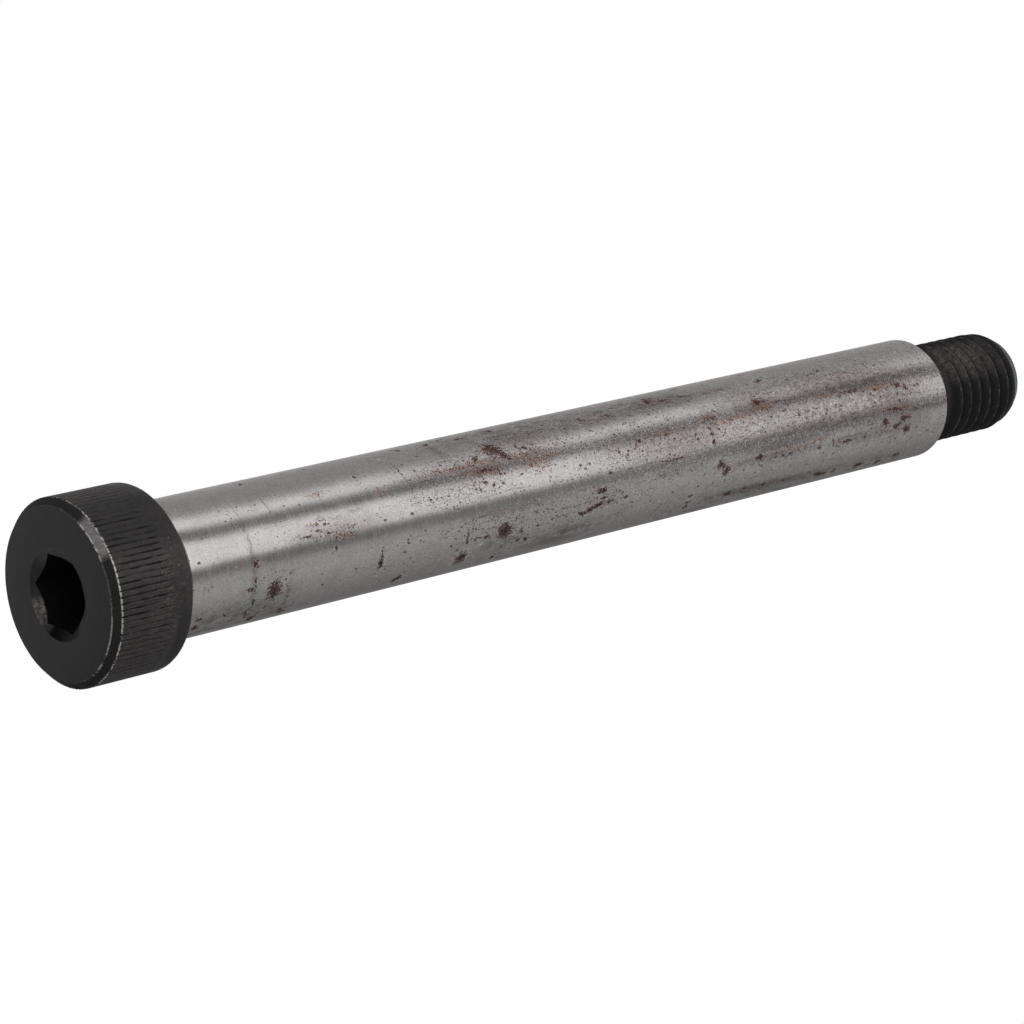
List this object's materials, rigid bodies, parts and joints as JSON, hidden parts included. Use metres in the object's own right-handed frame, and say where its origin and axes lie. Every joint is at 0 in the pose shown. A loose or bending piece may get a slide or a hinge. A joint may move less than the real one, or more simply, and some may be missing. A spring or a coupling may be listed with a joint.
{
  "type": "shoulder bolt",
  "caption": "Long steel shoulder bolt with a knurled round head, a hexagon key socket, a ground plain shoulder and a short thread of smaller diameter.",
  "frame": {"origin": "centre of the head's socket face, on which the bolt stands", "axes": "+Z along the bolt's axis from the head to the thread tip; +X through one corner of the hexagon socket"},
  "size_m": [0.0254, 0.0254, 0.1859],
  "materials": {
    "alloy_steel": "ground shoulder with rust spots, black oxide on head and thread"
  },
  "bodies": {
    "root": {"shoulder_bolt": "alloy_steel"}
  },
  "joints": []
}
